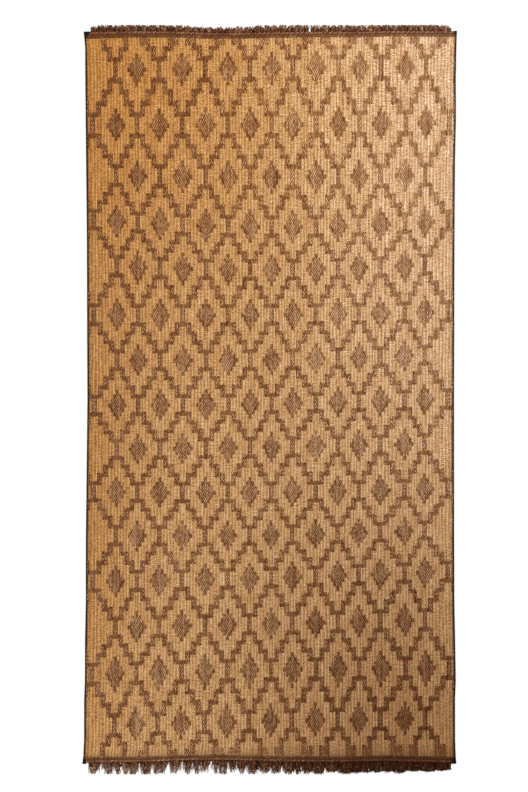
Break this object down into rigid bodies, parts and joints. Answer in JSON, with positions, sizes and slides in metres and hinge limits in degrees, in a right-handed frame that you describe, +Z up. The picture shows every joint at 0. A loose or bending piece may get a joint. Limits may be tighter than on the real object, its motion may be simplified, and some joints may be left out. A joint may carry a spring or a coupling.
{
  "type": "tuareg mat",
  "caption": "Large flat floor mat of reed straws woven with leather strands in a stepped diamond lattice, with leather bound long sides, twined end bands and leather fringes.",
  "frame": {"origin": "on the floor, under the middle of the mat's outline with its fringes", "axes": "+Z up out of the mat's face, +Y along its length to the head end, +X across it to the right as seen from above with the head end away"},
  "size_m": [2.81, 5.626, 0.0066],
  "materials": {
    "woven_reed": "matt woven straw",
    "dark_leather": "satin, worn smooth",
    "brown_leather": "matt",
    "fringe_leather": "matt"
  },
  "bodies": {
    "root": {"mat_panel": "woven_reed", "binding_left": "dark_leather", "binding_right": "dark_leather", "end_band_head": "brown_leather", "end_band_foot": "brown_leather", "fringe_head": "fringe_leather", "fringe_foot": "fringe_leather"}
  },
  "joints": []
}
